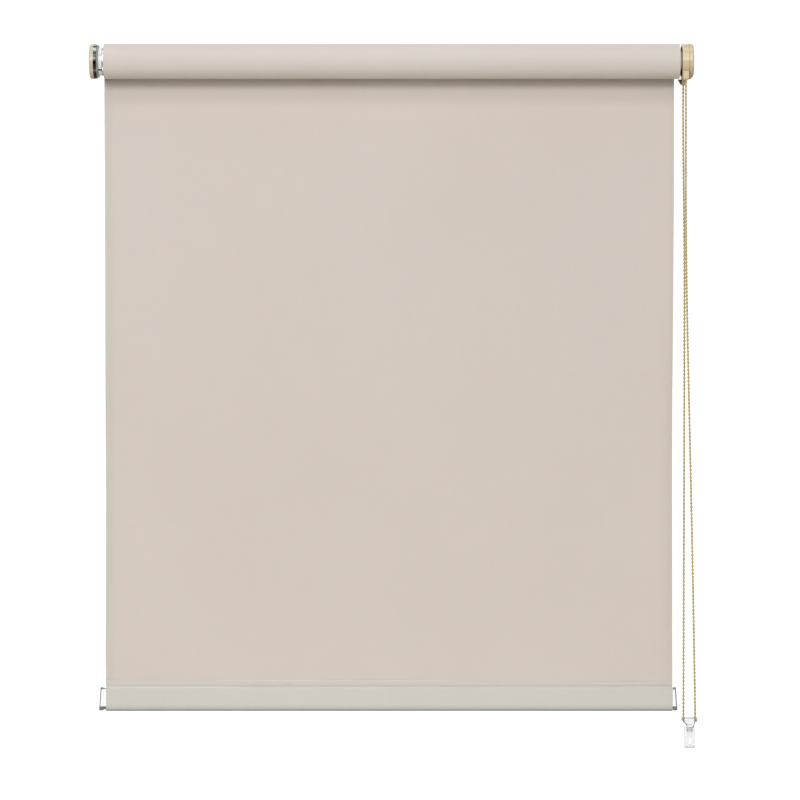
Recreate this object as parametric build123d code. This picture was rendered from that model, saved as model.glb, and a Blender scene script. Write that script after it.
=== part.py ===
from build123d import *
import math
import os

# ---------------------------------------------------------------- frame
# Chain-driven roller blind hanging from two side brackets. +Z is up, the wall
# is the plane y = 0 and the room is at -Y. The origin is the middle of the
# rectangle of the four wall screw holes. Lengths along the roller are given
# from the middle of the fabric and moved by FX, because the clutch end is
# thicker than the pin end.
FX = -5.55            # middle of the fabric, from the origin, along X
AXIS_Y = -40.0        # roller axis, from the wall
# ---------------------------------------------------------------- fabric
FABRIC_HALF = 462.0   # half the cut width of the cloth
CLOTH = 0.5           # thickness of the coated cloth
ROLL_R = 28.2         # outside of the roll with the leaving layer on it
ROLL_LEFT = -459.3    # the turns on the tube have crept a little towards the drive end
ROLL_RIGHT = 468.0
SHEET_BOTTOM = -1006.9
WELD_Z = -1015.4      # weld line that closes the bar pocket
POCKET_BOTTOM = -1054.9
POCKET_T = 9.8        # pocket, front to back
# ---------------------------------------------------------------- tube
TUBE_R = 22.5
TUBE_WALL = 1.2
KEY_W = 8.0           # groove that takes the spline, and drives plug and crown
KEY_D = 2.2
TUBE_L = -461.6
TUBE_RT = 465.4
# ---------------------------------------------------------------- brackets
PLATE = 1.6
ARM_HALF = 20.0       # half height of the arm to the wall
IDLE_IN = -470.9      # inner face of the idle plate
IDLE_RIM = -475.4     # outer edge of its pressed rim
IDLE_R = 27.9
DRIVE_IN = 482.0
DRIVE_R = 27.0
FLANGE = 28.5
HOLE_FROM_PLATE = 15.5
HOLE_R = 2.5
HOLE_Z = 12.0
# ---------------------------------------------------------------- clutch
HOUSING_R = 28.65
HOUSING_L = 471.2
POST_R = 8.0
JOURNAL_R = 9.9
SQUARE = 12.0
CHAIN_X = 477.0       # plane of the sprocket
CHAIN_PITCH_R = 19.1  # 20 pockets at 6.0 mm
POCKETS = 20
BEAD_R = 2.25
OUTLET_Z = -36.5
LIP_Z = -30.7
# ---------------------------------------------------------------- joiner
HEAD_TOP = -1062.0
STRAND_END = -1068.0
BACK_END_X = 477.5
FRONT_END_X = 496.9
TAB_X = 487.6
TAB_W = 17.5
TAB_TOP = -1077.0
TAB_BOTTOM = -1111.0

os.makedirs("parts", exist_ok=True)


def at(x, y, z):
    return Pos(x + FX, y + AXIS_Y, z)


def xcyl(r, x0, x1, y=0.0, z=0.0):
    return at((x0 + x1) / 2, y, z) * Rot(0, 90, 0) * Cylinder(r, abs(x1 - x0))


def xring(ro, ri, x0, x1):
    return xcyl(ro, x0, x1) - xcyl(ri, min(x0, x1) - 0.01, max(x0, x1) + 0.01)


def box(x0, x1, y0, y1, z0, z1):
    return at((x0 + x1) / 2, (y0 + y1) / 2, (z0 + z1) / 2) * Box(
        abs(x1 - x0), abs(y1 - y0), abs(z1 - z0)
    )


def turned(shape, degrees):
    """The shape turned about the roller axis."""
    return (
        at(0, 0, 0) * Rot(degrees, 0, 0) * (Pos(-FX, -AXIS_Y, 0) * shape)
    )


def save(shape, name):
    shape.label = name
    export_step(shape, f"parts/{name}.step")


def yz_extrude(sketch, x0, x1):
    """A sketch drawn with X to the back (y) and Y up (z), made solid between x0 and x1."""
    plane = Plane(origin=(x0 + FX, AXIS_Y, 0), x_dir=(0, 1, 0), z_dir=(1, 0, 0))
    return extrude(plane * sketch, amount=x1 - x0)


def arm_outline(r, half, back):
    return Circle(r) + Pos(back / 2, 0) * Rectangle(back, 2 * half)


# ================================================================ brackets
def bracket(plate_x, inward, r):
    """plate_x is the inner face and inward is +1 for the idle end, -1 for the drive end."""
    out = plate_x - inward * PLATE
    low, high = sorted((plate_x, out))
    plate = yz_extrude(arm_outline(r, ARM_HALF, 40.0), low, high)
    corner = 3.0
    flange_end = out + inward * FLANGE
    x0, x1 = sorted((out, flange_end))
    flange = box(x0, x1, 40.0 - PLATE, 40.0, -ARM_HALF, ARM_HALF)
    flange = fillet(
        [
            e
            for e in flange.edges().filter_by(Axis.Y)
            if abs(e.center().X - (flange_end + FX)) < 0.01
        ],
        4.0,
    )
    both = plate + flange
    both = fillet(
        [
            e
            for e in both.edges().filter_by(Axis.Z)
            if abs(e.center().X - (out + FX)) < 0.01 and abs(e.center().Y) < 0.01
        ],
        corner,
    )
    both = fillet(
        [
            e
            for e in both.edges().filter_by(Axis.Z)
            if abs(e.center().X - (plate_x + FX)) < 0.01
            and abs(e.center().Y + PLATE) < 0.01
        ],
        corner - PLATE,
    )
    for z in (-HOLE_Z, HOLE_Z):
        both -= (
            Pos(out + inward * HOLE_FROM_PLATE + FX, -PLATE / 2, z)
            * Rot(90, 0, 0)
            * Cylinder(HOLE_R, 6.0)
        )
    return both


bracket_idle = bracket(IDLE_IN, 1, IDLE_R)
# the pressed rim turns outward round the disc and stops at the arm
rim = xring(IDLE_R, IDLE_R - PLATE, IDLE_RIM, IDLE_IN - PLATE)
rim -= box(IDLE_RIM - 1, IDLE_IN, 17.5, 45, -ARM_HALF - 5, ARM_HALF + 5)
bracket_idle = bracket_idle + rim
bracket_idle -= xcyl(7.05, IDLE_IN - 5, IDLE_IN + 1)
save(bracket_idle, "bracket_idle")

bracket_drive = bracket(DRIVE_IN, -1, DRIVE_R)
bracket_drive -= box(
    DRIVE_IN - 1, DRIVE_IN + 4, -SQUARE / 2 - 0.1, SQUARE / 2 + 0.1,
    -SQUARE / 2 - 0.1, SQUARE / 2 + 0.1,
)
save(bracket_drive, "bracket_drive")

# plastic bearing insert pressed into the idle plate from outside
pin_bush = xcyl(7.0, IDLE_IN - PLATE, IDLE_IN) + xcyl(
    9.5, IDLE_IN - PLATE - 1.3, IDLE_IN - PLATE
)
pin_bush -= xcyl(4.08, IDLE_IN - 6, IDLE_IN + 1)
save(pin_bush, "pin_bush")


# ================================================================ covers
def cover(r, open_x, face_x, wall, clip_r, clip_x):
    """Snap-on cover: a dished shell with an arm, open towards the bracket. clip_r and clip_x are the outside and the end of its ring of clips."""
    s = 1 if face_x > open_x else -1
    low, high = sorted((open_x, face_x))
    outer = yz_extrude(arm_outline(r, ARM_HALF + 0.9, 39.4), low, high)
    rounded = [
        e
        for e in outer.edges()
        if abs(e.center().X - (face_x + FX)) < 0.01
        and e.center().Y < -0.7
    ]
    outer = fillet(rounded, 2.6)
    ilow, ihigh = sorted((open_x - s * 0.01, face_x - s * wall))
    inner = yz_extrude(arm_outline(r - wall, ARM_HALF + 0.9 - wall, 39.4 - wall), ilow, ihigh)
    shell = outer - inner
    clips = xring(clip_r, clip_r - 1.4, clip_x, face_x - s * (wall - 0.2))
    clips -= box(-520, 520, -5, 40, -7, 7)
    clips -= box(-520, 520, -40, 5, -7, 7)
    clips -= box(-520, 520, -7, 7, -40, 40)
    clips -= box(-520, 520, 14.0, 40, -30, 30)
    return shell + clips


cover_idle = cover(28.4, IDLE_RIM - 0.1, -482.0, 1.6, IDLE_R - PLATE - 0.15, -473.4)
save(cover_idle, "cover_idle")

cover_drive = cover(HOUSING_R, DRIVE_IN + PLATE + 0.1, 489.7, 1.5, 24.6, DRIVE_IN + PLATE + 0.15)
# skirt over the edge of the drive plate
skirt = xring(HOUSING_R, DRIVE_R + 0.15, DRIVE_IN + 0.6, DRIVE_IN + PLATE + 0.11)
skirt -= box(DRIVE_IN - 1, DRIVE_IN + 6, 15.0, 45, -ARM_HALF - 5, ARM_HALF + 5)
cover_drive = cover_drive + skirt
# the lower edge is cut back where the hand reaches the chain
slope = Plane(
    origin=(485.6 + FX, AXIS_Y, -HOUSING_R - 0.2),
    x_dir=(0, 1, 0),
    z_dir=Vector(1.0, 0, -0.75).normalized(),
)
cut = extrude(slope * (Pos(-9.0, 0) * Rectangle(60, 60)), amount=20)
cover_drive -= cut
save(cover_drive, "cover_drive")

# ================================================================ tube and cloth
groove_top = TUBE_R - KEY_D
rib_in = groove_top - TUBE_WALL
tube = xring(TUBE_R, TUBE_R - TUBE_WALL, TUBE_L, TUBE_RT)
rib = box(TUBE_L, TUBE_RT, -KEY_W / 2 - TUBE_WALL, KEY_W / 2 + TUBE_WALL, rib_in, TUBE_R - 0.9)
tube = tube + rib - box(
    TUBE_L - 1, TUBE_RT + 1, -KEY_W / 2, KEY_W / 2, groove_top, TUBE_R + 3
)
save(tube, "roller_tube")

# strip that holds the top edge of the cloth in the groove
save(
    box(TUBE_L + 2, TUBE_RT - 2, -KEY_W / 2 + 0.2, KEY_W / 2 - 0.2, groove_top + 0.05, groove_top + 1.75),
    "fabric_spline",
)

fabric_roll = xring(ROLL_R - CLOTH - 0.05, TUBE_R + 0.05, ROLL_LEFT, ROLL_RIGHT)
save(fabric_roll, "fabric_roll")

# the hanging cloth leaves the back of the roll
SHEET_Y = ROLL_R - CLOTH / 2
fabric_sheet = box(
    -FABRIC_HALF, FABRIC_HALF, SHEET_Y - CLOTH / 2, SHEET_Y + CLOTH / 2, SHEET_BOTTOM, 0.0
)
save(fabric_sheet, "fabric_sheet")

# ================================================================ bottom rail
pocket_h = WELD_Z - POCKET_BOTTOM
pocket_z = (WELD_Z + POCKET_BOTTOM) / 2


def oval(width, height, x0, x1):
    """Rounded bar section, width front to back and height up, between x0 and x1."""
    plane = Plane(origin=(x0 + FX, AXIS_Y + SHEET_Y, pocket_z), x_dir=(0, 1, 0), z_dir=(1, 0, 0))
    return extrude(plane * RectangleRounded(width, height, width * 0.46), amount=x1 - x0)


pocket = oval(POCKET_T, pocket_h, -FABRIC_HALF, FABRIC_HALF) - oval(
    POCKET_T - 1.0, pocket_h - 1.0, -FABRIC_HALF - 1, FABRIC_HALF + 1
)
pocket = pocket + box(
    -FABRIC_HALF, FABRIC_HALF, SHEET_Y - 0.5, SHEET_Y + 0.5, WELD_Z - 0.3, SHEET_BOTTOM - 0.1
)
save(pocket, "hem_pocket")

BAR_L, BAR_R_ = -458.5, 459.0
bar = oval(8.0, pocket_h - 1.8, BAR_L, BAR_R_) - oval(
    5.6, pocket_h - 4.2, BAR_L - 1, BAR_R_ + 1
)
save(bar, "bottom_bar")


def bar_cap(inner_x, s, plug_to):
    """Clear end cap: a flange that is thicker at the bottom, and a plug into the bar."""
    flange = oval(11.0, 38.0, *sorted((inner_x, inner_x + s * 7.1)))
    tilt = math.atan2(2.6, 38.0)
    plane = Plane(
        origin=(inner_x + s * 5.8 + FX, AXIS_Y + SHEET_Y, pocket_z),
        x_dir=(0, 1, 0),
        z_dir=Vector(s * math.cos(tilt), 0, math.sin(tilt)).normalized(),
    )
    flange -= extrude(plane * Rectangle(40, 80), amount=12)
    neck = oval(5.3, pocket_h - 4.6, *sorted((plug_to, inner_x)))
    return flange + neck


save(bar_cap(462.9, 1, 438.0), "bar_cap_right")
save(bar_cap(-466.4, -1, -438.0), "bar_cap_left")

# ================================================================ idle end
# thumbwheel: toothed rim, thin web, threaded hub
teeth = 56
points = []
for i in range(teeth):
    for k, r in ((0.0, 25.5), (0.30, 26.2), (0.62, 26.2), (0.92, 25.5)):
        a = 2 * math.pi * (i + k) / teeth
        points.append((r * math.cos(a), r * math.sin(a)))
wheel_outline = make_face(Polyline(*points, close=True))
thumbwheel = yz_extrude(wheel_outline, -470.6, -467.8)
thumbwheel -= xring(23.6, 10.5, -468.7, -467.7)
thumbwheel -= xcyl(6.06, -472, -466)
save(thumbwheel, "thumbwheel")

# white plug that drives with the tube
collar = xcyl(23.0, -467.6, -462.2)
plug = collar + xcyl(13.5, -462.3, -424.5)
for i in range(8):
    fin = box(-462.3, -426.0, -1.0, 1.0, 12.5, 21.0)
    plug = plug + turned(fin, 22.5 + 45 * i)
plug -= xcyl(13.3, -468.0, -465.8)
plug -= xcyl(9.56, -470, -420)
for i in range(6):
    notch = box(-466.4, -463.0, -24.5, -21.0, -0.9, 0.9)
    plug -= turned(notch, 39.0 + 60 * i)
save(plug, "idle_plug")

# fixed core that the plug turns on, keyed to the pin
core = xcyl(9.5, -465.9, -421.0) + xcyl(13.0, -467.5, -465.85)
core -= xcyl(6.06, -470, -419)
core -= xring(10.5, 8.5, -424.25, -423.0)
core = core + box(-467.5, -421.0, -0.9, 0.9, -6.6, -4.9)
save(core, "idle_core")

clip = xring(12.5, 8.6, -424.2, -423.1)
clip -= box(-425, -422, -4.0, 4.0, 5.0, 14.0)
save(clip, "core_clip")

# retracting pin
pin = xcyl(4.0, -474.6, -470.4) + xcyl(6.0, -470.5, -432.0)
pin = chamfer(
    [e for e in pin.edges().filter_by(GeomType.CIRCLE) if abs(e.center().X - (-474.6 + FX)) < 0.01], 0.6
)
pin -= box(-471.0, -431.0, -1.1, 1.1, -7.0, -4.6)
save(pin, "idle_pin")

# ================================================================ clutch
# fixed post with a square boss through housing and bracket
post = xcyl(POST_R, 423.4, 471.0) + xcyl(JOURNAL_R, 470.5, 480.4)
post = post + box(480.3, 484.6, -SQUARE / 2, SQUARE / 2, -SQUARE / 2, SQUARE / 2)
post -= xring(POST_R + 1, 7.0, 424.7, 425.9)
save(post, "clutch_post")

post_clip = xring(11.0, 7.1, 424.8, 425.8) - box(424, 426.5, -3.0, 3.0, -12.0, -4.0)
save(post_clip, "post_clip")

# driver: chain wheel with a sleeve over the springs
wheel = xcyl(20.6, 473.7, 480.3) + xcyl(12.4, 432.0, 473.75)
wheel -= xcyl(10.0, 431.0, 473.0)
wheel -= xcyl(JOURNAL_R + 0.05, 472.9, 481.0)
# window for the spring ends, at the bottom
wheel -= box(433.5, 469.5, -5.6, 5.6, -13.5, -8.0)
groove = at(CHAIN_X, 0, 0) * Rot(0, 90, 0) * Torus(CHAIN_PITCH_R + 0.6, 1.35)
wheel -= groove
for i in range(POCKETS):
    a = 2 * math.pi * i / POCKETS
    wheel -= at(CHAIN_X, CHAIN_PITCH_R * math.cos(a), CHAIN_PITCH_R * math.sin(a)) * Sphere(
        BEAD_R + 0.15
    )
save(wheel, "chain_wheel")

# beads of the chain that lie in the wheel
beads = None
for i in range(POCKETS // 2 + 1):
    a = 2 * math.pi * i / POCKETS
    bead = at(CHAIN_X, CHAIN_PITCH_R * math.cos(a), CHAIN_PITCH_R * math.sin(a)) * Sphere(BEAD_R - 0.05)
    beads = bead if beads is None else beads + bead
string = at(CHAIN_X, 0, 0) * Rot(0, 90, 0) * Torus(CHAIN_PITCH_R, 0.6)
string -= box(CHAIN_X - 5, CHAIN_X + 5, -30, 30, -30, 0)
beads = beads + string
save(beads, "chain_on_wheel")


# wrap springs, closed wound, with one radial end each
def spring(x0, turns, wire, side):
    n = turns
    with BuildPart() as coil:
        with BuildSketch(Plane.XY):
            with BuildLine():
                r_in, r_mid = POST_R + 0.06, POST_R + 0.06 + wire / 2
                length = n * wire
                Line((0, r_in), (length, r_in))
                Line((length, r_in), (length, r_mid))
                for k in range(n):
                    xa = length - k * wire
                    ThreePointArc((xa, r_mid), (xa - wire / 2, r_mid + wire / 2), (xa - wire, r_mid))
                Line((0, r_mid), (0, r_in))
            make_face()
        revolve(axis=Axis.X)
    body = at(x0, 0, 0) * coil.part
    a = math.radians(-90 + side * 20)
    tang = Rot(math.degrees(a) - 90, 0, 0) * Box(wire, wire, 3.6)
    cx = x0 + (0.5 * wire if side > 0 else length - 0.5 * wire)
    r = 10.4
    return body + at(cx, r * math.cos(a), r * math.sin(a)) * tang


springs = Compound(children=[spring(434.5, 10, 1.6, 1), spring(452.5, 10, 1.6, -1)])
save(springs, "wrap_springs")

# driven crown that fills the tube end
crown = xcyl(16.0, 426.0, 472.9) + xcyl(22.2, 465.7, 467.3)
for i in range(8):
    fin = box(430.0, 465.8, -1.0, 1.0, 15.0, 21.0)
    crown = crown + turned(fin, 22.5 + 45 * i)
crown -= xcyl(12.5, 430.0, 474.0)
crown -= xcyl(POST_R + 0.06, 425.0, 431.0)
crown = crown + box(434.0, 469.0, -2.0, 2.0, -13.6, -10.3)
save(crown, "drive_crown")

# housing: cup round the chain wheel, open to the roller
housing = xcyl(HOUSING_R, HOUSING_L, 482.0)
housing = fillet(
    [e for e in housing.edges().filter_by(GeomType.CIRCLE) if e.center().X < HOUSING_L + FX + 0.01], 0.9
)
housing -= xcyl(26.6, 472.7, 480.5)
housing -= xcyl(23.4, 470.0, 473.0)
housing -= box(479.0, 483.0, -SQUARE / 2 - 0.1, SQUARE / 2 + 0.1, -SQUARE / 2 - 0.1, SQUARE / 2 + 0.1)
for y in (-CHAIN_PITCH_R, CHAIN_PITCH_R):
    housing -= box(CHAIN_X - 3.1, CHAIN_X + 3.1, y - 3.1, y + 3.1, -30.0, -12.0)
save(housing, "clutch_housing")


# chain guard: a short lip in front and a longer outlet behind, joined by a saddle under the housing
def outlet(y, bottom, top_x, top_w, low_x, low_w, low_d):
    with BuildPart() as lower:
        with BuildSketch(Plane.XY.offset(-28.0)):
            with Locations((top_x, y)):
                RectangleRounded(top_w, 11.0, 2.6)
        with BuildSketch(Plane.XY.offset(bottom)):
            with Locations((low_x, y)):
                RectangleRounded(low_w, low_d, 2.6)
        loft()
    upper = Pos(477.0, y, -22.6) * Box(9.0, 10.0, 11.2)
    return Pos(FX, AXIS_Y, 0) * (lower.part + upper)


guard = outlet(-CHAIN_PITCH_R, LIP_Z, 477.0, 9.2, 477.0, 8.8, 9.6) + outlet(
    CHAIN_PITCH_R, OUTLET_Z, 473.8, 13.6, 476.3, 8.6, 8.6
)
saddle = xring(30.4, HOUSING_R + 0.1, 472.0, 481.6)
saddle -= box(470, 484, -40, 40, -20.0, 40)
guard = guard + saddle
guard -= xcyl(HOUSING_R + 0.1, 460, 490)
for y in (-CHAIN_PITCH_R, CHAIN_PITCH_R):
    guard -= at(CHAIN_X, y, -28) * Cylinder(2.9, 30)
save(guard, "chain_guard")


# ================================================================ chain and joiner
def strand(points, name):
    pts = [Vector(x + FX, y + AXIS_Y, z) for x, y, z in points]
    if len(pts) == 2:
        path = Line(*pts)
        radii = []
    else:
        radii = []
        for a, b, c in zip(pts, pts[1:], pts[2:]):
            turn = (b - a).get_angle(c - b)
            run = min((b - a).length, (c - b).length)
            radii.append(0.45 * run / math.tan(math.radians(turn) / 2))
        path = FilletPolyline(*pts, radius=radii)
    wire = path if isinstance(path, Wire) else Wire(path.edges())
    section = Plane(origin=wire @ 0, z_dir=wire % 0) * Circle(BEAD_R)
    tube_ = sweep(section, path=wire)
    print(
        name, "length", round(wire.length, 1), "radii", [round(r) for r in radii],
        "volume", round(tube_.volume), "section x length", round(math.pi * BEAD_R**2 * wire.length),
    )
    save(tube_, name)


FRONT_ROUTE = [
    (477.0, -19.1, -14.5),
    (477.0, -18.7, -80.0),
    (477.6, -15.6, -240.0),
    (480.0, -12.4, -390.0),
    (484.3, -9.0, -550.0),
    (489.0, -5.8, -720.0),
    (493.4, -2.6, -900.0),
    (FRONT_END_X, 0.0, STRAND_END),
]
BACK_ROUTE = [(477.0, 19.1, -14.5), (BACK_END_X, 0.0, STRAND_END)]
strand(FRONT_ROUTE, "chain_front_strand")
strand(BACK_ROUTE, "chain_back_strand")

# clear joiner head: a yoke with a socket for each end of the chain
head_pts = [
    (474.0, HEAD_TOP), (500.4, HEAD_TOP), (500.6, -1067.0), (492.6, TAB_TOP + 1.6),
    (492.6, TAB_TOP - 8.0), (482.6, TAB_TOP - 8.0), (482.6, TAB_TOP + 1.6), (473.8, -1067.0),
]
with BuildPart() as head_:
    with BuildSketch(Plane.XZ):
        with BuildLine():
            Polyline(*head_pts, close=True)
        make_face()
    extrude(amount=3.4, both=True)
head = Pos(FX, AXIS_Y, 0) * head_.part
head = fillet([e for e in head.edges().filter_by(Axis.Y) if e.center().Z > -1070.0], 1.3)
for x in (BACK_END_X, FRONT_END_X):
    head -= at(x, 0, HEAD_TOP - 3.1) * Cylinder(2.75, 6.4)
head = head + box(485.3, 489.9, -3.9, -3.3, -1084.0, -1079.5)
save(head, "joiner_head")

# clear tab: sleeve for the yoke's tongue, with a hanging slot and a lip
tab = box(TAB_X - TAB_W / 2, TAB_X + TAB_W / 2, -4.6, 4.6, TAB_BOTTOM, TAB_TOP)
tab = fillet(tab.edges().filter_by(Axis.Y), 1.2)
tab -= box(482.4, 492.8, -3.55, 3.55, TAB_TOP - 8.2, TAB_TOP + 1)
tab -= box(484.9, 490.3, -5.0, 0.0, -1084.4, -1079.1)
front_cut = box(TAB_X - 9.5, TAB_X + 9.5, -6.0, -2.3, TAB_BOTTOM + 2.4, -1087.5)
back_cut = box(TAB_X - 9.5, TAB_X + 9.5, 2.3, 6.0, TAB_BOTTOM + 2.4, -1087.5)
tab -= front_cut
tab -= back_cut
slot = box(486.2, 490.9, -6, 6, -1103.0, -1097.9)
slot = slot + at(488.55, 0, -1103.0) * Rot(90, 0, 0) * Cylinder(2.35, 12)
slot = slot + at(488.55, 0, -1097.9) * Rot(90, 0, 0) * Cylinder(2.35, 12)
tab -= slot
save(tab, "joiner_tab")
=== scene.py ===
import math

import bmesh
import bpy
import numpy as np
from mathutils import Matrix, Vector


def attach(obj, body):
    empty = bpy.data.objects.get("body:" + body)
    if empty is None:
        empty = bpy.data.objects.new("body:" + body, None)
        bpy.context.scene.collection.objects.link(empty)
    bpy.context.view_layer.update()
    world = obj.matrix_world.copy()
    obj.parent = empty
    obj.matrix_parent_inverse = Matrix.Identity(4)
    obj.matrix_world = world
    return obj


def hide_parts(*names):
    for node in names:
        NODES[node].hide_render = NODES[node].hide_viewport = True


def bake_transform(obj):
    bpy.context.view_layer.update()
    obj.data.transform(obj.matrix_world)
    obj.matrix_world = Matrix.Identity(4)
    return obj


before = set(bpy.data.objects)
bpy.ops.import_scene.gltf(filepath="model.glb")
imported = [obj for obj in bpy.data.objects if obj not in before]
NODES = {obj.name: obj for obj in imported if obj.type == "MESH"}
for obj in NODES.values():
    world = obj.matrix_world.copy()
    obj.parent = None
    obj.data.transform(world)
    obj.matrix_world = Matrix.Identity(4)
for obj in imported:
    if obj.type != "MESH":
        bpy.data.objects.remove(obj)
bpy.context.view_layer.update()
scene = bpy.context.scene
col = scene.collection
rng = np.random.default_rng(11)

# ------------------------------------------------------------------ the shared frame, in metres
FX, AY = -0.00555, -0.040          # middle of the cloth and the roller axis, from the origin
HALF = 0.462                       # half the cloth's width
ROLL_R = 0.0282
CLOTH = 0.0005
SHEET_Y = AY + ROLL_R - CLOTH / 2
WELD_Z = -0.0154 - 1.0
HEM_TOP = -1.0048
POCKET_BOTTOM = -1.0549


def smooth01(t):
    t = np.clip(t, 0, 1)
    return t * t * (3 - 2 * t)


# ------------------------------------------------------------------ camera first
def make_camera():
    cam = bpy.data.cameras.new("camera")
    o = bpy.data.objects.new("camera", cam)
    col.objects.link(o)
    cam.sensor_width = 36.0
    cam.lens = 36.0 * 3100.0 / 800.0
    cam.clip_start, cam.clip_end = 0.1, 60.0
    o.location = (0.0174 + FX, AY - 5.01468, -0.38868)
    o.rotation_euler = (math.radians(90.0 - 1.8), 0.0, 0.0)
    scene.camera = o
    return o


make_camera()


# ------------------------------------------------------------------ materials
def material(name):
    m = bpy.data.materials.new(name)
    m.use_nodes = True
    nt = m.node_tree
    nt.nodes.clear()
    out = nt.nodes.new("ShaderNodeOutputMaterial")
    bsdf = nt.nodes.new("ShaderNodeBsdfPrincipled")
    nt.links.new(bsdf.outputs[0], out.inputs[0])
    return m, nt, bsdf


def node(nt, kind, **values):
    n = nt.nodes.new(kind)
    for k, v in values.items():
        setattr(n, k, v)
    return n


def math_node(nt, op, a, b=None, clamp=False):
    n = nt.nodes.new("ShaderNodeMath")
    n.operation = op
    n.use_clamp = clamp
    for i, x in enumerate((a, b)):
        if x is None:
            continue
        if isinstance(x, (int, float)):
            n.inputs[i].default_value = x
        else:
            nt.links.new(x, n.inputs[i])
    return n.outputs[0]


def ramp(nt, fac, stops):
    r = nt.nodes.new("ShaderNodeValToRGB")
    while len(r.color_ramp.elements) > 1:
        r.color_ramp.elements.remove(r.color_ramp.elements[-1])
    first = True
    for pos, c in stops:
        if first:
            e = r.color_ramp.elements[0]
            e.position = pos
            first = False
        else:
            e = r.color_ramp.elements.new(pos)
        e.color = (*c, 1.0) if len(c) == 3 else c
    nt.links.new(fac, r.inputs[0])
    return r.outputs[0]


def noise(nt, vector, scale, detail=3.0, rough=0.5, distortion=0.0):
    n = nt.nodes.new("ShaderNodeTexNoise")
    n.inputs["Scale"].default_value = scale
    n.inputs["Detail"].default_value = detail
    n.inputs["Roughness"].default_value = rough
    n.inputs["Distortion"].default_value = distortion
    if vector is not None:
        nt.links.new(vector, n.inputs["Vector"])
    return n.outputs["Fac"]


def scaled(nt, vector, xyz):
    m = nt.nodes.new("ShaderNodeMapping")
    m.inputs["Scale"].default_value = xyz
    nt.links.new(vector, m.inputs["Vector"])
    return m.outputs[0]


def mix_colour(nt, fac, a, b, mode="MIX"):
    n = nt.nodes.new("ShaderNodeMix")
    n.data_type = "RGBA"
    n.blend_type = mode
    if isinstance(fac, (int, float)):
        n.inputs[0].default_value = fac
    else:
        nt.links.new(fac, n.inputs[0])
    for i, x in ((6, a), (7, b)):
        if isinstance(x, tuple):
            n.inputs[i].default_value = (*x, 1.0) if len(x) == 3 else x
        else:
            nt.links.new(x, n.inputs[i])
    return n.outputs[2]


def bump(nt, bsdf, height, strength, distance, chain=None):
    b = nt.nodes.new("ShaderNodeBump")
    b.inputs["Strength"].default_value = strength
    b.inputs["Distance"].default_value = distance
    nt.links.new(height, b.inputs["Height"])
    if chain is not None:
        nt.links.new(chain, b.inputs["Normal"])
    nt.links.new(b.outputs[0], bsdf.inputs["Normal"])
    return b.outputs[0]


def band(nt, value, lo, hi):
    """0 below lo, 1 above hi (or the other way round), smooth between."""
    n = nt.nodes.new("ShaderNodeMapRange")
    n.interpolation_type = "SMOOTHSTEP"
    nt.links.new(value, n.inputs["Value"])
    if lo < hi:
        n.inputs["From Min"].default_value, n.inputs["From Max"].default_value = lo, hi
        n.inputs["To Min"].default_value, n.inputs["To Max"].default_value = 0.0, 1.0
    else:
        n.inputs["From Min"].default_value, n.inputs["From Max"].default_value = hi, lo
        n.inputs["To Min"].default_value, n.inputs["To Max"].default_value = 1.0, 0.0
    return n.outputs[0]


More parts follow.
